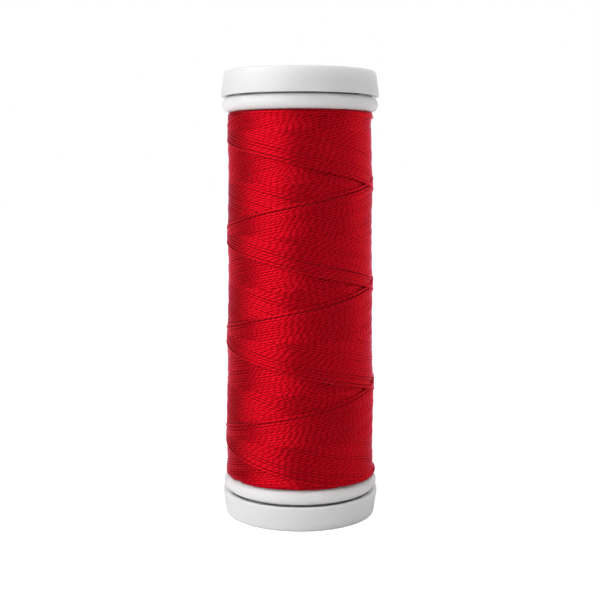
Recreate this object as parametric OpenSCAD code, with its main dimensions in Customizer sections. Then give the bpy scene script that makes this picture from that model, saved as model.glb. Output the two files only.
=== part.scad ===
// Snap spool of sewing thread: one moulded spool body, two moulded caps that snap into its ends
// and pull out to lock the thread end, and the thread that is cross-wound on the barrel.
// Units are millimetres. The axis is Z, and the bottom cap's end face stands on Z = 0.

/* [Spool body] */
// Height over both closed caps
spool_h = 65; // [55:1:80]
// Diameter of the flanges over their round rims
flange_d = 22.75; // [21:0.25:25]
// Thickness of a flange, whose rim is a half circle
flange_t = 2.1; // [1.6:0.05:2.6]
// Wall of the barrel under the thread
barrel_wall = 1.1; // [0.8:0.1:1.4]
// Length of the narrow neck in each end of the barrel
neck_h = 3; // [2.4:0.1:4]

/* [End caps] */
// Height of a cap from its end face to its rim
cap_h = 3.6; // [3.2:0.1:4.5]
// How far a cap's rim stands out past the flange
cap_overhang = 0.125; // [0:0.025:0.4]
// Height of the upright land round the rim, below which the skirt tapers
rim_land = 0.4; // [0.3:0.05:0.8]
// How much the skirt's radius shrinks from that land to the end face
cap_taper = 0.45; // [0.2:0.05:0.8]
// Wall of the skirt
skirt_wall = 1; // [0.8:0.1:1.4]
// Thickness of the end plate
plate_t = 1.1; // [0.8:0.1:1.3]
// Depth of the flat ring sunk in the end face
face_recess = 0.3; // [0.1:0.05:0.4]
// Width of the raised border round the end face
face_border = 1.5; // [1.2:0.1:2.2]
// Width of the raised ring round the hole in the end face
hole_border = 0.7; // [0.4:0.1:1]
// Radius of the edge of the end face
end_edge_r = 0.35; // [0.2:0.05:0.5]
// Radius of the edge of the rim
rim_edge_r = 0.12; // [0.05:0.01:0.2]
// Number of stiffening ribs behind the end plate
ribs = 6; // [4:1:8]
// Thickness of a rib
rib_t = 0.8; // [0.6:0.1:1]
// Height of a rib over the end plate
rib_h = 0.9; // [0.5:0.1:1.2]

/* [Snap fit] */
// Diameter of the hole for a spool pin
pin_bore_d = 7; // [6:0.25:8]
// Wall of the spring fingers
finger_wall = 1; // [0.8:0.1:1.2]
// Width of the slots between the fingers
slot_w = 1; // [0.6:0.1:1.2]
// Length of those slots
slot_l = 5; // [4:0.1:6]
// How far the bead on the fingers catches behind the barrel's neck
bead_catch = 0.35; // [0.2:0.05:0.5]
// Length of the bead along the axis
bead_l = 1; // [0.8:0.1:1.4]
// Travel of a cap from closed to open
cap_travel = 1.8; // [1:0.1:2.4]
// Gap between a closed cap's rim and the flange, where the thread end is pinched
lock_gap = 0.12; // [0.08:0.02:0.3]
// How much that gap widens from the rim to the inside of the skirt
gap_relief = 0.15; // [0:0.05:0.3]
// Middle radius of the ring on which a closed cap seats
seat_r = 8.2; // [7.8:0.1:8.8]
// Width of that ring
seat_w = 0.8; // [0.6:0.1:1]
// Clearance of the fingers in the barrel's neck, on the radius
neck_clearance = 0.08; // [0.05:0.01:0.1]
// Clearance of the bead in the barrel's bore, on the radius
bead_clearance = 0.25; // [0.15:0.05:0.4]
// Clearance between bead and neck when a cap is open
stop_clearance = 0.1; // [0.05:0.05:0.2]

/* [Thread] */
// Diameter of the thread
thread_d = 0.3; // [0.2:0.05:0.4]
// Depth of the outermost strands under the flange's rim, at the bottom flange
depth_bottom = 0.35; // [0.05:0.05:0.7]
// The same depth at the top flange, where less thread is wound
depth_top = 0.95; // [0.1:0.05:1.2]
// Laps of the outer layer, each once up and once down the barrel
laps = 3; // [2:1:3]
// Whole turns in one lap
lap_turns = 7; // [5:1:7]
// Clearance between strands that cross
cross_clearance = 0.45; // [0.42:0.01:0.6]
// Clearance of the strands over the inner layers and from the flanges
lay_clearance = 0.03; // [0.02:0.01:0.1]

/* [Hidden] */
$fn = 128;
white = [0.94, 0.94, 0.95];
red = [0.78, 0.03, 0.06];
cut = 1;    // how far a cutting tool runs past what it cuts

// Radii, from the hole in the middle outwards
pin_r = pin_bore_d / 2;
finger_r = pin_r + finger_wall;
neck_r = finger_r + neck_clearance;
bead_r = neck_r + bead_catch;
bore_r = bead_r + bead_clearance;
barrel_r = bore_r + barrel_wall;
flange_r = flange_d / 2;
rim_r = flange_r + cap_overhang;
end_r = rim_r - cap_taper;

// Heights at the bottom end, from the end face inwards; the top end is the same, upside down
plate_z = face_recess + plate_t;
flange_z = cap_h + lock_gap;
wound_z = flange_z + flange_t;
neck_z = flange_z + neck_h;
bead_z = neck_z + cap_travel + stop_clearance;
tip_z = bead_z + bead_l;
wound_h = spool_h - 2 * wound_z;
lead_in = bead_catch;     // bevel at the mouth of the hole and at the fingers' tips

// The outer layer: strands wind up on the inner radius and down on the outer one
rings_per_turn = 24;
tube_sides = 6;
lap_shift = 1 / (laps + 1 / 3);     // part of a turn by which each lap starts past the last
stroke_turns = (lap_turns + lap_shift) / 2;
all_turns = 2 * laps * stroke_turns;
turn_back = 0.1;                    // turns over which a strand rounds a reversal, each side
climb = 0.42 * lap_shift;           // turns over which it changes radius there, each side
chord_sag = flange_r * (1 - cos(180 / rings_per_turn));
low_lay = thread_d / 2 + chord_sag + lay_clearance;
high_lay = low_lay + thread_d + cross_clearance;
end_bend = 0.3;                     // bend radius where the thread leaves the inner layers
start_lay = thread_d + end_bend;
lay_z = wound_z + thread_d / 2 + lay_clearance;
lay_h = spool_h - 2 * lay_z;

// Radius of the inner layers at height z: the package is a little thicker at the bottom
function core_r(z) =
    flange_r - high_lay - thread_d / 2
    - depth_bottom - (depth_top - depth_bottom) * (z - wound_z) / wound_h;

// ---- Spool body ----

// One end of the body's section: the flange with its half-round rim, and the neck
module body_end_section() {
    translate([neck_r, flange_z]) square([flange_r - flange_t / 2 - neck_r, flange_t]);
    translate([flange_r - flange_t / 2, flange_z + flange_t / 2]) circle(d = flange_t);
    translate([neck_r, flange_z]) square([barrel_r - neck_r, neck_h]);
}

module spool_body() {
    color(white) rotate_extrude() {
        body_end_section();
        translate([0, spool_h]) mirror([0, 1]) body_end_section();
        translate([bore_r, flange_z]) square([barrel_wall, spool_h - 2 * flange_z]);
    }
}

// ---- End caps ----

// Section of a cap whose end face lies on Z = 0
module cap_section() {
    taper_h = cap_h - rim_land;
    draft = atan(cap_taper / taper_h);
    end_edge = [end_r + cap_taper * end_edge_r / taper_h - end_edge_r / cos(draft), end_edge_r];
    rim_edge = [rim_r - rim_edge_r, cap_h - rim_edge_r];
    outward = [cos(draft), -sin(draft)];
    translate(end_edge) circle(r = end_edge_r);
    translate(rim_edge) circle(r = rim_edge_r);
    polygon([
        // end face, with its sunk ring
        [pin_r + lead_in, 0], [finger_r + hole_border, 0], [finger_r + hole_border, face_recess],
        [end_r - face_border, face_recess], [end_r - face_border, 0], [end_edge[0], 0],
        // skirt
        end_edge, end_edge + end_edge_r * outward, [rim_r, taper_h], [rim_r, rim_edge[1]], rim_edge,
        [rim_edge[0], cap_h], [rim_r - skirt_wall, cap_h - gap_relief],
        [end_r - skirt_wall, plate_z],
        // seat ring
        [seat_r + seat_w / 2, plate_z], [seat_r + seat_w / 2, flange_z],
        [seat_r - seat_w / 2, flange_z], [seat_r - seat_w / 2, plate_z],
        // spring fingers with their bead
        [finger_r, plate_z], [finger_r, bead_z], [bead_r, bead_z],
        [bead_r, tip_z - lead_in], [bead_r - lead_in, tip_z],
        [pin_r, tip_z], [pin_r, lead_in]
    ]);
}

module end_cap() {
    difference() {
        union() {
            rotate_extrude() cap_section();
            for (i = [0 : ribs - 1]) rotate(360 / ribs * i)
                translate([finger_r - finger_wall / 2, -rib_t / 2, plate_z - plate_t / 2])
                    cube([end_r - skirt_wall / 2 - finger_r, rib_t, rib_h + plate_t / 2]);
        }
        for (turn = [0, 90]) rotate(turn)
            translate([-bead_r - cut, -slot_w / 2, tip_z - slot_l])
                cube([2 * (bead_r + cut), slot_w, slot_l + cut]);
    }
}

module top_cap() {
    color(white) translate([0, 0, spool_h]) mirror([0, 0, 1]) end_cap();
}

module bottom_cap() {
    color(white) end_cap();
}

// ---- Thread ----

module thread_inner_layers() {
    color(red) rotate_extrude() polygon([
        [barrel_r, wound_z], [core_r(wound_z), wound_z],
        [core_r(wound_z + wound_h), wound_z + wound_h], [barrel_r, wound_z + wound_h]
    ]);
}

// Smooth step from 0 to 1 while x goes from -1 to 1
function ease(x) = let (u = (min(1, max(-1, x)) + 1) / 2) u * u * (3 - 2 * u);

// Length run along a stroke, d turns past a reversal, less what the rounding of the turn takes
function run(d) =
    d < turn_back ? d * d / (2 * turn_back) : d - turn_back / 2;

// Part of the way up the barrel at d turns past a bottom reversal
function rise(d) =
    let (half = run(stroke_turns / 2))
    (d < stroke_turns / 2 ? run(d) : 2 * half - run(stroke_turns - d)) / (2 * half);

// Height of the thread after so many turns
function lay_height(turns) =
    let (d = turns % (2 * stroke_turns))
    lay_z + lay_h * rise(min(d, 2 * stroke_turns - d));

// 0 on the way up and 1 on the way down, d turns past a bottom reversal
function downward(d) =
    1 + ease((d - stroke_turns) / climb) - ease((d - 2 * stroke_turns) / climb) - ease(d / climb);

// How far the thread's middle lies over the inner layers after so many turns
function lay_over(turns) =
    turns < climb ? start_lay + (low_lay - start_lay) * ease(2 * turns / climb - 1)
    : turns > all_turns - climb ? high_lay
    : low_lay + (high_lay - low_lay) * downward(turns % (2 * stroke_turns));

function lay_point(turns) =
    let (z = lay_height(turns), r = core_r(z) + lay_over(turns))
    [r * cos(360 * turns), r * sin(360 * turns), z];

// A thread end: straight out of the inner layers, then round a bend into the lay.
// side is 1 where the thread goes on towards larger angles, and -1 towards smaller ones
function thread_end(turns, over, side) =
    let (z = lay_height(turns), r = core_r(z),
         out = [cos(360 * turns), sin(360 * turns), 0],
         along = side * [-out[1], out[0], 0],
         foot = r * out + [0, 0, z],
         bend = foot + (over - end_bend) * out)
    concat([foot, foot + thread_d * out],
           [for (a = [0 : 22.5 : 90]) bend + end_bend * (sin(a) * out + (1 - cos(a)) * along)]);

function backwards(list) = [for (i = [len(list) - 1 : -1 : 0]) list[i]];

function unit(v) = v / norm(v);

// Rings of points round a path that never runs straight up
function tube_points(path, d) = [
    for (i = [0 : len(path) - 1])
        let (ahead = unit(path[min(i + 1, len(path) - 1)] - path[max(i - 1, 0)]),
             across = unit(cross(ahead, [0, 0, 1])),
             up = cross(across, ahead))
        for (j = [0 : tube_sides - 1])
            let (a = 360 / tube_sides * j)
            path[i] + d / 2 * (cos(a) * across + sin(a) * up)
];

module tube(path, d) {
    last = (len(path) - 1) * tube_sides;
    walls = [
        for (i = [0 : len(path) - 2], j = [0 : tube_sides - 1])
            let (a = i * tube_sides + j, b = i * tube_sides + (j + 1) % tube_sides)
            each [[a, b, b + tube_sides], [a, b + tube_sides, a + tube_sides]]
    ];
    ends = [
        for (j = [1 : tube_sides - 2])
            each [[0, j + 1, j], [last, last + j, last + j + 1]]
    ];
    polyhedron(tube_points(path, d), concat(walls, ends));
}

// Least gap between stretches of a tube that lie more than a third of a turn apart
function least_gap(path, d) =
    let (parts = 4,
         dense = [for (i = [0 : len(path) - 2], k = [0 : parts - 1])
                  path[i] + (path[i + 1] - path[i]) * k / parts],
         apart = parts * rings_per_turn / 3)
    min([for (i = [0 : len(dense) - 1 - apart], j = [i + apart : len(dense) - 1])
         if (abs(dense[i][2] - dense[j][2]) < 4 * d) norm(dense[i] - dense[j])]) - d;

module thread_outer_layer() {
    path = concat(
        thread_end(0, start_lay, 1),
        [for (i = [1 : floor(all_turns * rings_per_turn)]) lay_point(i / rings_per_turn)],
        backwards(thread_end(all_turns, high_lay, -1))
    );
    echo(loops = all_turns, rings = len(path), least_gap = least_gap(path, thread_d));
    color(red) tube(path, thread_d);
}

spool_body();
top_cap();
bottom_cap();
thread_inner_layers();
thread_outer_layer();
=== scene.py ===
"""Looks of the snap spool: moulded white plastic, cross-wound red thread, floor, light and camera."""
import math

import bpy
import numpy as np
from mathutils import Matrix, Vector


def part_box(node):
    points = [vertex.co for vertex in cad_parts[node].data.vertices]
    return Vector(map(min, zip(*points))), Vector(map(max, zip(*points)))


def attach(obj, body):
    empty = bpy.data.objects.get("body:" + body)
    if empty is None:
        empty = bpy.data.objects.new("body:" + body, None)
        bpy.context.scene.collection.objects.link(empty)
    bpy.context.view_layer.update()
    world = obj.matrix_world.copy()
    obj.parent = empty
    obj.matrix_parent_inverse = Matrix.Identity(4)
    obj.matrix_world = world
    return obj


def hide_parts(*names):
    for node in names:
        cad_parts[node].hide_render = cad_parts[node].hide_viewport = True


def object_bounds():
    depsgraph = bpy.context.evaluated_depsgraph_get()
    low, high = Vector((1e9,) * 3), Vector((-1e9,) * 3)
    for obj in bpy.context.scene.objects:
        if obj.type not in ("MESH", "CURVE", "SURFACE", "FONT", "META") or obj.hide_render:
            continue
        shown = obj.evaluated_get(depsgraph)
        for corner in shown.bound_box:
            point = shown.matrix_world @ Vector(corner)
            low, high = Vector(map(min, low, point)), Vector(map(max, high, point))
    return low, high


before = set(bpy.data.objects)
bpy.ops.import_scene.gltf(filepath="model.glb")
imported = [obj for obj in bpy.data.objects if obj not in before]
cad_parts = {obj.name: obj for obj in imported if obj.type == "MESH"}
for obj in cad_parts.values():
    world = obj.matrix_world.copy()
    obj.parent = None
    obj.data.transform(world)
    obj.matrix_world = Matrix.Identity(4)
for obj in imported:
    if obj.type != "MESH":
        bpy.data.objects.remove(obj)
cad_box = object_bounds()

MM = 0.001
TURN = 2 * math.pi
FRAME_PX = 600                      # the photograph's width and height
WHITE = (1, 1, 1, 1)

# ---- Camera, fitted to the ellipses of the rims ----
CAMERA_BACK = 160.0                 # mm from the spool's axis
CAMERA_HEIGHT = 49.8                # mm over the floor
CAMERA_PITCH = 5.2                  # degrees below the horizon
FOCAL_PX = 1085.0
SENSOR = 36.0                       # mm
SHIFT_Y = -0.04

# ---- Backdrop: how far back a direction points is 1 straight behind the object, 0 to its sides ----
ROOM_FRONT = 0.06                   # brightness of the room behind the camera
BACKDROP_FROM = 0.3                 # how far back the backdrop begins
BACKDROP_WHITE = 1.0                # how far back it is white
BACKDROP_RIGHT = 0.35               # how far the backdrop reaches round the right more than the left
BACKDROP_ON_MATT = 1.0              # share of its light that matt surfaces get; mirrors and glass get all

# ---- Floor, in m ----
FLOOR_REACH = 1.5                   # from its middle to its sides
FLOOR_FADE = 0.1, 0.5               # distances from the object over which it turns white
FLOOR_GLOW = 0.6                    # its glow nearer than that, where its lit colour adds the rest
FLOOR_MIRROR_FADE = 0.1             # behind the object, where mirrors and glass come to see it
FLOOR_COLOUR = (0.9, 0.9, 0.9, 1)

# ---- Lamps ----
LAMP_DISTANCE = 0.6                 # m from the object's middle
# Azimuth (0 is the camera's side, 90 the right) and elevation in degrees, width and height in m,
# power in W
LAMPS = {
    "key_left": (-62, 12, 0.5, 0.35, 0.75),
    "key_front": (-35, 12, 0.35, 0.35, 0.65),
    "key_high": (-80, 38, 0.4, 0.35, 0.93),
    "top_left": (-40, 60, 0.4, 0.4, 1.12),
    "top_right": (50, 60, 0.4, 0.4, 0.48),
    "side_right": (85, 40, 0.4, 0.35, 0.36),
    "rim_right": (100, 15, 0.3, 0.35, 0.2),
}

# ---- Where most values of a noise lie ----
NOISE_SPAN = 0.3, 0.7
FIBRE_SPAN = 0.25, 0.75             # of one with finer detail

# ---- White plastic ----
PLASTIC_LIGHT = (0.9, 0.902, 0.908, 1)
PLASTIC_SHADE = (0.885, 0.888, 0.895, 1)
PLASTIC_ROUGHNESS = 0.36, 0.46      # from one grain of the mould's texture to the next

# ---- Red thread ----
RED_CREASE_SHADE = (0.38, 0.0002, 0.0015, 1)      # painted shade: the darker colour of the creases between the plies
RED_CROWN = (0.64, 0.004, 0.017, 1)
RED_DEEP = (0.4, 0.0002, 0.0015, 1)         # mixed in along some stretches of a strand
RED_DEEP_SHARE = 0.2                # the most that is mixed in
PLIES = 2
PLY_STEP = 0.95                     # mm along a strand, from one ply's crown to the next
PLY_FULLNESS = 0.9                  # below 1 makes a ply fuller than a sine wave
PLY_WANDER = 1.6                    # how far the twist wanders, in plies
PLY_RELIEF = 0.035                  # mm from the crease to the crown
FIBRE_RELIEF = 0.01                 # mm
FIBRE_TONE = 0.85, 1.05             # darkest and lightest fibre
FIBRES_PER_PLY = 9.0
WANDER_RATE, FIBRE_RATE, DEEP_RATE = 0.16, 0.8, 0.05    # changes to the mm along a strand

# ---- The winding, in mm and degrees ----
THREAD_W = 0.47                     # width of a strand, flattened a little by its neighbours
THREAD_H = 0.31                     # its height
PITCH = 14.75                       # climb of the thread in one turn
STRAND_SPACING = 0.36               # between strands of neighbouring laps, square to them
COVERAGE = 1.15                     # how often the laps cover the whole pitch
FRONT = 270.0                       # angle of the side that faces the camera
UP_AT_FRONT = 31.2                  # height at which the last upward stroke passes the front
DOWN_AT_FRONT = 37.0                # the same for the last downward stroke
LAST_GAP_UP = 0.2                   # extra gap below the last upward stroke
LAST_GAP_DOWN = 0.04                # extra gap above the last downward stroke
CORNER_TURNS = 0.05                 # half of the turn over which a stroke rounds its reversal
STROKE_SPREAD = 0.5                 # how far from the flange the reversals scatter
LAP_WANDER = 0.035                  # scatter in height from lap to lap
WANDER_KEPT = 0.6                   # share of it that the next lap keeps
SLOW_WANDER = 0.012                 # amplitude of slow waves along a lap
WAVES_PER_TURN = 1.3, 2.7
WINDING_SEED = 7

# ---- How deep the strands lie, in mm ----
# Heights up the spool, with the radius of the finished package at each
PACKAGE_PROFILE = [(5.8, 11.0), (9, 10.88), (16.5, 10.93), (24, 10.77),
                   (32, 10.66), (46, 10.58), (54, 10.5), (59.2, 10.35)]
CORE_DEPTH = 0.66                   # from that radius down to the covered layers
PRESSED_SHARE = 0.9                 # share of a strand's half height left where it lies on another
PRESSED_IN = 0.03                   # how far it sinks in besides
SETTLING = 0.6                      # share that is left of a strand's height above the limit of its lap
GROWTH = 0.46                       # how much deeper the first laps lie than the last ones
LAY_LIMIT = -0.1                    # how far the last laps may stand over that radius
LAST_LAP_RISE = 0.14                # how much more the very last one may

# ---- Height field and meshes ----
COLUMNS = 960                       # steps of the height field round the package
COLUMN_TURN = TURN / COLUMNS
ROW = 0.05                          # height of one of its rows, in mm
TAUT_PASSES = 2
TAUT_REACHES = 1, 2, 4, 8           # columns between which a strand is pulled straight
BEND_REACH = 4                      # columns to each side over which a strand's stiffness evens its path
STEP_FADE = 60                      # columns over which the step between two strokes is evened out
RING_STEP = 12                      # columns from one ring of a strand to the next
STRAND_SIDES = 8
CORE_RINGS, CORE_SIDES = 40, 180
PATTERN_SHIFT = 100.0               # mm by which the plies and fibres of the laps are shifted at most
PATTERN_SEED = 3
LAP_PIECES = ["thread_first_laps", "thread_middle_laps", "thread_last_laps"]


def new_object(name, mesh):
    made = bpy.data.objects.new(name, mesh)
    bpy.context.scene.collection.objects.link(made)
    return made


# ---- Materials ----

class Nodes:
    """Short ways to add and join the nodes of one material or world."""

    def __init__(self, tree):
        self.tree = tree
        tree.nodes.clear()

    def feed(self, node, socket, value):
        """Links an output to a node's input, or writes a constant on it."""
        if isinstance(value, bpy.types.NodeSocket):
            self.tree.links.new(value, node.inputs[socket])
        else:
            node.inputs[socket].default_value = value

    def add(self, kind, settings=None, **inputs):
        """A new node. An input's name has _ for a space."""
        node = self.tree.nodes.new(kind)
        for name, value in (settings or {}).items():
            setattr(node, name, value)
        for name, value in inputs.items():
            self.feed(node, name.replace("_", " "), value)
        return node

    def math(self, operation, *values):
        node = self.add("ShaderNodeMath", {"operation": operation})
        for socket, value in enumerate(values):
            self.feed(node, socket, value)
        return node.outputs[0]

    def mix_colour(self, factor, first, second):
        node = self.add("ShaderNodeMix", {"data_type": "RGBA"})
        for socket, value in ((0, factor), (6, first), (7, second)):
            self.feed(node, socket, value)
        return node.outputs[2]

    def map_range(self, value, low, high, to_low, to_high):
        node = self.add("ShaderNodeMapRange")
        for socket, given in enumerate((value, low, high, to_low, to_high)):
            self.feed(node, socket, given)
        return node.outputs[0]

    def noise(self, place, scale, detail):
        return self.add("ShaderNodeTexNoise", Vector=place, Scale=scale, Detail=detail).outputs["Fac"]

    def bump(self, height, strength, distance):
        node = self.add("ShaderNodeBump", Height=height, Strength=strength, Distance=distance)
        return node.outputs["Normal"]


def new_material(name):
    made = bpy.data.materials.new(name)
    made.use_nodes = True
    return made, Nodes(made.node_tree)


def white_plastic():
    """Satin white polystyrene with the faint mottling and flow texture of a moulding."""
    made, n = new_material("white_polystyrene")
    place = n.add("ShaderNodeTexCoord").outputs["Object"]
    mottle = n.noise(place, scale=260.0, detail=3.0)
    grain = n.noise(place, scale=6000.0, detail=2.0)
    shader = n.add(
        "ShaderNodeBsdfPrincipled",
        Base_Color=n.mix_colour(mottle, PLASTIC_LIGHT, PLASTIC_SHADE),
        Roughness=n.map_range(grain, *NOISE_SPAN, *PLASTIC_ROUGHNESS),
        Normal=n.bump(grain, strength=0.08, distance=0.02 * MM),
        IOR=1.59,
        Subsurface_Weight=1.0,
        Subsurface_Radius=(1.0, 1.0, 1.0),
        Subsurface_Scale=2.0 * MM,
    )
    n.add("ShaderNodeOutputMaterial", Surface=shader.outputs[0])
    return made


def red_thread():
    """Two-ply red polyester: creases between the plies run round each strand, darkened there as painted
    shade, and fibres run along it.
    """
    made, n = new_material("red_polyester_thread")
    uv = n.add("ShaderNodeUVMap", {"uv_map": "strand"}).outputs[0]
    split = n.add("ShaderNodeSeparateXYZ", Vector=uv)
    around, along = split.outputs[0], split.outputs[1]      # in turns and in mm

    def strand_noise(rate, detail, across=0.0):
        place = n.add("ShaderNodeCombineXYZ", X=across, Y=n.math("MULTIPLY", along, rate))
        return n.noise(place.outputs[0], scale=1.0, detail=detail)

    wander = n.math("MULTIPLY", strand_noise(WANDER_RATE, detail=1.0), PLY_WANDER)
    phase = n.math("SUBTRACT", n.math("MULTIPLY", along, 1 / PLY_STEP), n.math("MULTIPLY", around, PLIES))
    phase = n.math("ADD", phase, wander)
    lobe = n.math("ABSOLUTE", n.math("SINE", n.math("MULTIPLY", phase, math.pi)))
    lobe = n.math("POWER", lobe, PLY_FULLNESS)
    fibres = strand_noise(FIBRE_RATE, detail=2.0, across=n.math("MULTIPLY", phase, FIBRES_PER_PLY))
    # Painted shade: the colour darkens from each ply's crown into the crease between the plies, and the
    # fibres vary the tone at random
    crease_shade_and_fibre_tone = n.math("MULTIPLY", lobe, n.map_range(fibres, *FIBRE_SPAN, *FIBRE_TONE))
    deep = n.map_range(strand_noise(DEEP_RATE, detail=1.0), *NOISE_SPAN, 0.0, RED_DEEP_SHARE)
    height = n.math("ADD", n.math("MULTIPLY", lobe, PLY_RELIEF), n.math("MULTIPLY", fibres, FIBRE_RELIEF))
    shader = n.add(
        "ShaderNodeBsdfPrincipled",
        Base_Color=n.mix_colour(deep, n.mix_colour(crease_shade_and_fibre_tone, RED_CREASE_SHADE, RED_CROWN), RED_DEEP),
        Normal=n.bump(height, strength=1.0, distance=MM),
        Metallic=0.9,
        Roughness=0.28,
        Specular_IOR_Level=0.3,
        Specular_Tint=(0.88, 0.3, 0.45, 1),
        Sheen_Weight=0.08,
        Sheen_Roughness=0.4,
        Sheen_Tint=(1.0, 0.6, 0.75, 1),
    )
    n.add("ShaderNodeOutputMaterial", Surface=shader.outputs[0])
    return made


# ---- Thread: a winding machine's laps, laid one after the other on a height field ----

def soft_ramp(x, corner):
    """0 below zero and x above it, rounded over corner on each side of zero."""
    return np.where(x < -corner, 0.0, np.where(x > corner, x, (x + corner) ** 2 / (4 * corner)))


def taut(radii):
    """Raises the radii of a path, one a column, until the thread is straight between what it lies on."""
    inverse = 1 / radii
    for _ in range(TAUT_PASSES):
        for reach in TAUT_REACHES:
            straight = (inverse[:-2 * reach] + inverse[2 * reach:]) / (2 * math.cos(reach * COLUMN_TURN))
            inverse[reach:-reach] = np.minimum(inverse[reach:-reach], straight)
    return 1 / inverse


def smoothed(values, reach):
    """Values averaged twice over reach steps to each side."""
    kernel = np.ones(2 * reach + 1) / (2 * reach + 1)
    kernel = np.convolve(kernel, kernel)
    padded = np.pad(values, 2 * reach, mode="edge")
    return np.convolve(padded, kernel, mode="valid")


class Package:
    """The growing package: its surface radius over a grid of angle columns and height rows."""

    def __init__(self, bottom, top):
        self.bottom, self.top = bottom, top
        self.rows = int((top - bottom) / ROW)
        self.z = bottom + (np.arange(self.rows) + 0.5) * ROW
        self.final = np.interp(self.z, *zip(*PACKAGE_PROFILE))
        self.radius = np.tile(self.final - CORE_DEPTH, (COLUMNS, 1))
        self.lean = math.atan(PITCH / (TURN * self.final.mean()))

    def lay(self, column, z, limit):
        """Lays one stroke of thread on the surface and returns the radius of its middle."""
        # The rows under the strand at each column, and half of its height over each of them
        half = int(math.ceil(THREAD_W / 2 / ROW)) + 1
        row = ((z - self.bottom) / ROW).astype(int)[:, None] + np.arange(-half, half + 1)
        inside = (row >= 0) & (row < self.rows)
        row = row.clip(0, self.rows - 1)
        off = (self.z[row] - z[:, None]) * math.cos(self.lean)
        inside &= np.abs(off) < THREAD_W / 2
        section = THREAD_H / 2 * np.sqrt(np.maximum(1 - (2 * off / THREAD_W) ** 2, 0))
        # It is held up where the surface under it stands highest, and pulled straight in between
        column = np.broadcast_to(column[:, None] % COLUMNS, row.shape)
        under = np.where(inside, self.radius[column, row] + PRESSED_SHARE * section, 0).max(1)
        middle = smoothed(taut(under - PRESSED_IN), BEND_REACH)
        # Above the limit of its lap, it settles into the layers below
        allowed = np.interp(z, self.z, self.final) - THREAD_H / 2 + limit
        middle = np.minimum(middle, allowed + SETTLING * (middle - allowed))
        surface = (middle[:, None] + section)[inside]
        np.maximum.at(self.radius, (column[inside], row[inside]), surface)
        return middle

    def lay_lap(self, column, z, limit, reversal):
        """Lays the strokes before and after the reversal, with no step in radius between them."""
        upward = self.lay(column[:reversal], z[:reversal], limit)
        downward = self.lay(column[reversal:], z[reversal:], limit)
        fade = np.clip(1 - np.arange(len(downward)) / STEP_FADE, 0, 1)
        return np.concatenate([upward, downward - (downward[0] - upward[-1]) * fade])


class Machine:
    """The winding machine: a lap goes up, dwells, comes down and dwells.

    Its angles count from the lap's start, which is half way through the dwell at the bottom.
    """

    def __init__(self, package):
        self.low, self.high = package.bottom + THREAD_W / 2, package.top - THREAD_W / 2
        self.lap_step = STRAND_SPACING / (package.final.mean() * math.sin(package.lean))
        self.laps = round(TURN / self.lap_step * COVERAGE)
        front = math.radians(FRONT)
        stroke = TURN * (self.high - self.low) / PITCH
        self.up_start = front - TURN * (UP_AT_FRONT - self.low) / PITCH
        down_start = front - TURN * (self.high - DOWN_AT_FRONT) / PITCH
        dwell_top = (down_start - self.up_start - stroke) % TURN
        dwell_bottom = (self.up_start - self.lap_step - down_start - stroke) % TURN
        self.lap_turn = 2 * stroke + dwell_top + dwell_bottom
        self.up_from = dwell_bottom / 2
        self.up_to = self.up_from + stroke
        self.reversal = self.up_to + dwell_top / 2
        self.down_from = self.up_to + dwell_top
        self.down_to = self.down_from + stroke

    def columns(self, age):
        """The columns that a lap crosses, and its start. The age counts back from the last lap, 0."""
        start = self.up_start + age * self.lap_step - self.up_from
        first = math.ceil(start / COLUMN_TURN)
        last = math.ceil((start + self.lap_turn) / COLUMN_TURN)
        return np.arange(first, last + 1), start

    def heights(self, run, short_low, short_high):
        """Heights at the angles run, on a lap that turns back before each flange by an angle of climb."""
        corner = CORNER_TURNS * TURN
        climb = (soft_ramp(run - self.up_from - short_low, corner)
                 - soft_ramp(run - self.up_to + short_high, corner)
                 - soft_ramp(run - self.down_from - short_high, corner)
                 + soft_ramp(run - self.down_to + short_low, corner))
        return self.low + (short_low + climb) * PITCH / TURN


def slow_waves(theta, phases):
    waves = sum(np.sin(rate * theta + phase) for rate, phase in zip(WAVES_PER_TURN, phases))
    return SLOW_WANDER * waves


def wind(bottom, top):
    """Winds every lap and returns, lap by lap, the angles, radii and heights of its rings."""
    package = Package(bottom, top)
    machine = Machine(package)
    rng = np.random.default_rng(WINDING_SEED)
    drift = 0.0
    wound = []
    for age in range(machine.laps - 1, -1, -1):
        column, start = machine.columns(age)
        theta = column * TURN / COLUMNS
        run = theta - start
        drift = WANDER_KEPT * drift + rng.normal(0, LAP_WANDER)
        short_low, short_high = rng.uniform(0, STROKE_SPREAD * TURN / PITCH, 2)
        phases = rng.uniform(0, TURN, 2)
        z = machine.heights(run, short_low, short_high) + slow_waves(theta, phases) + drift
        if age == 0:
            z += np.where(run < machine.reversal, LAST_GAP_UP, -LAST_GAP_DOWN)
        z = z.clip(machine.low, machine.high)
        limit = LAY_LIMIT + LAST_LAP_RISE * (age == 0) - GROWTH * age / machine.laps
        middle = package.lay_lap(column, z, limit, int(machine.reversal / COLUMN_TURN))
        wound.append((theta[::RING_STEP], middle[::RING_STEP], z[::RING_STEP]))
    return wound


def strand_points(theta, radius, z):
    """Rings of points round the thread's middle line, and the length run at each ring."""
    middle = np.stack([radius * np.cos(theta), radius * np.sin(theta), z], 1)
    ahead = np.gradient(middle, axis=0)
    ahead /= np.linalg.norm(ahead, axis=1)[:, None]
    outward = np.stack([np.cos(theta), np.sin(theta), np.zeros_like(theta)], 1)
    across = np.cross(ahead, outward)
    across /= np.linalg.norm(across, axis=1)[:, None]
    outward = np.cross(across, ahead)
    angle = np.arange(STRAND_SIDES) * TURN / STRAND_SIDES
    points = (middle[:, None, :]
              + THREAD_W / 2 * np.cos(angle)[None, :, None] * across[:, None, :]
              + THREAD_H / 2 * np.sin(angle)[None, :, None] * outward[:, None, :])
    run = np.concatenate([[0], np.cumsum(np.linalg.norm(np.diff(middle, axis=0), axis=1))])
    return points, run


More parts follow.
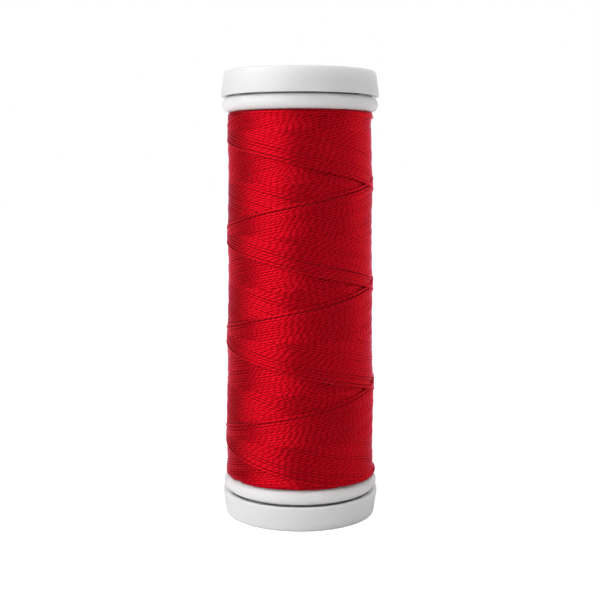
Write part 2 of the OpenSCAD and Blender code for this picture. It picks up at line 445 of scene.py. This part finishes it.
def drum_points(bottom, top, barrel):
    """Rings of points down the outside and up the inside of the covered layers, and their heights."""
    z = np.linspace(bottom, top, CORE_RINGS)
    radius = np.interp(z, *zip(*PACKAGE_PROFILE)) - CORE_DEPTH
    z, radius = np.append(z, [top, bottom]), np.append(radius, [barrel, barrel])
    angle = -np.arange(CORE_SIDES) * TURN / CORE_SIDES
    points = np.stack([radius[:, None] * np.cos(angle), radius[:, None] * np.sin(angle),
                       np.repeat(z[:, None], CORE_SIDES, 1)], 2)
    return points, z


def tube_mesh(name, tubes, looped=False):
    """One mesh of closed tubes, each given as its rings of points and the length run at each ring.

    A ring's points go round clockwise, seen along the tube. A looped tube's last ring joins its first.
    """
    verts, faces, uvs = [], [], []
    base = 0
    for points, run in tubes:
        rings, sides = points.shape[:2]
        verts.append(points.reshape(-1, 3) * MM)
        walled = np.arange(rings if looped else rings - 1)
        ring, side = (grid.ravel() for grid in np.meshgrid(walled, np.arange(sides), indexing="ij"))
        next_ring, next_side = (ring + 1) % rings, (side + 1) % sides
        walls = base + np.stack([ring * sides + side, next_ring * sides + side,
                                 next_ring * sides + next_side, ring * sides + next_side], 1)
        around = np.stack([side, side, side + 1, side + 1], 1) / sides
        along = np.stack([run[ring], run[next_ring], run[next_ring], run[ring]], 1)
        faces += walls.tolist()
        uvs.append(np.stack([around, along], 2).reshape(-1, 2))
        if not looped:
            rim = np.arange(sides)
            for corners, first, end in ((rim, base, 0), (rim[::-1], base + (rings - 1) * sides, -1)):
                faces.append((first + corners).tolist())
                uvs.append(np.stack([corners / sides, np.full(sides, run[end])], 1))
        base += rings * sides
    mesh = bpy.data.meshes.new(name)
    mesh.from_pydata(np.concatenate(verts).tolist(), [], faces)
    layer = mesh.uv_layers.new(name="strand")
    layer.data.foreach_set("uv", np.concatenate(uvs).astype(np.float32).ravel())
    mesh.shade_smooth()
    return mesh


def thread_piece(mesh, material):
    """A piece of the package, which rides on the spool and takes the material it is given."""
    mesh.materials.append(material)
    piece = new_object(mesh.name, mesh)
    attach(piece, "spool")
    return piece


def make_thread(material):
    """The laps in three pieces, and under them the covered layers, as a hollow drum on the barrel."""
    low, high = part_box("thread_inner_layers")
    bottom, top = low.z / MM, high.z / MM
    rng = np.random.default_rng(PATTERN_SEED)
    strands = []
    for lap in wind(bottom, top):
        points, run = strand_points(*lap)
        strands.append((points, run + rng.uniform(0, PATTERN_SHIFT)))
    cuts = [round(len(strands) * i / len(LAP_PIECES)) for i in range(len(LAP_PIECES) + 1)]
    for name, first, last in zip(LAP_PIECES, cuts, cuts[1:]):
        piece = thread_piece(tube_mesh(name, strands[first:last]), material)
        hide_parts("thread_outer_layer")
    barrel = min(v.co.xy.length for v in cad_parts["thread_inner_layers"].data.vertices) / MM
    drum = drum_points(bottom, top, barrel)
    piece = thread_piece(tube_mesh("thread_core", [drum], looped=True), material)
    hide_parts("thread_inner_layers")


# ---- Stage, light and camera ----

def mirrored(n, path):
    """1 for rays by which a mirror or glass sees the studio."""
    return n.math("MAXIMUM", path.outputs["Is Glossy Ray"], path.outputs["Is Transmission Ray"])


def make_floor():
    """A pale floor that the camera sees as white, and so do mirrors and glass where it lies behind."""
    mesh = bpy.data.meshes.new("floor")
    corners = [(x * FLOOR_REACH, y * FLOOR_REACH, 0) for x, y in ((-1, -1), (1, -1), (1, 1), (-1, 1))]
    mesh.from_pydata(corners, [], [(0, 1, 2, 3)])
    floor = new_object("floor", mesh)
    made, n = new_material("white_floor")
    path = n.add("ShaderNodeLightPath")
    place = n.add("ShaderNodeTexCoord").outputs["Object"]
    back = n.add("ShaderNodeSeparateXYZ", Vector=place).outputs[1]
    away = n.add("ShaderNodeVectorMath", {"operation": "LENGTH"}, Vector=place).outputs["Value"]
    behind = n.map_range(back, 0.0, FLOOR_MIRROR_FADE, 0.0, 1.0)
    glow = n.map_range(away, *FLOOR_FADE, FLOOR_GLOW, 1.0)
    seen = n.math("MAXIMUM", path.outputs["Is Camera Ray"], n.math("MULTIPLY", mirrored(n, path), behind))
    matt = n.add("ShaderNodeBsdfDiffuse", Color=FLOOR_COLOUR)
    white = n.add("ShaderNodeEmission", Color=WHITE, Strength=n.math("MULTIPLY", seen, glow))
    both = n.add("ShaderNodeAddShader")
    n.feed(both, 0, matt.outputs[0])
    n.feed(both, 1, white.outputs[0])
    n.add("ShaderNodeOutputMaterial", Surface=both.outputs[0])
    mesh.materials.append(made)


def make_world():
    """A white backdrop behind the object and round its sides, and a dark room on the camera's side."""
    world = bpy.data.worlds.new("studio")
    bpy.context.scene.world = world
    world.use_nodes = True
    n = Nodes(world.node_tree)
    path = n.add("ShaderNodeLightPath")
    towards = n.add("ShaderNodeSeparateXYZ", Vector=n.add("ShaderNodeTexCoord").outputs["Generated"])
    behind = n.math("MULTIPLY_ADD", towards.outputs[0], BACKDROP_RIGHT, towards.outputs[1])
    backdrop = n.map_range(behind, BACKDROP_FROM, BACKDROP_WHITE, ROOM_FRONT, 1.0)
    lit = n.math("MULTIPLY", backdrop, n.math("MAXIMUM", mirrored(n, path), BACKDROP_ON_MATT))
    strength = n.math("MAXIMUM", path.outputs["Is Camera Ray"], lit)
    white = n.add("ShaderNodeBackground", Color=WHITE, Strength=strength)
    n.add("ShaderNodeOutputWorld", Surface=white.outputs[0])


def make_lamp(name, azimuth, elevation, width, height, power):
    """A soft box that points at the object's middle."""
    lamp = bpy.data.lights.new(name, "AREA")
    lamp.shape, lamp.size, lamp.size_y, lamp.energy = "RECTANGLE", width, height, power
    made = new_object(name, lamp)
    a, e = math.radians(azimuth), math.radians(elevation)
    out = (math.sin(a) * math.cos(e), -math.cos(a) * math.cos(e), math.sin(e))
    middle = (cad_box[0] + cad_box[1]) / 2
    made.location = [c + LAMP_DISTANCE * o for c, o in zip(middle, out)]
    made.rotation_euler = (math.radians(90 - elevation), 0, a)


def make_camera():
    """The photograph's camera, level with the spool's upper half and tilted down a little."""
    lens = bpy.data.cameras.new("camera")
    lens.sensor_width = SENSOR
    lens.lens = FOCAL_PX / FRAME_PX * SENSOR
    lens.shift_y = SHIFT_Y
    lens.clip_start, lens.clip_end = 0.01, 10
    made = new_object("camera", lens)
    made.location = (0, -CAMERA_BACK * MM, CAMERA_HEIGHT * MM)
    made.rotation_euler = (math.radians(90 - CAMERA_PITCH), 0, 0)
    bpy.context.scene.camera = made


make_camera()
make_world()
for lamp_name, lamp_row in LAMPS.items():
    make_lamp(lamp_name, *lamp_row)
make_floor()
plastic = white_plastic()
for node in ("spool_body", "top_cap", "bottom_cap"):
    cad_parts[node].data.materials.clear()
    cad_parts[node].data.materials.append(plastic)
make_thread(red_thread())

bpy.context.scene.view_settings.view_transform = "Standard"
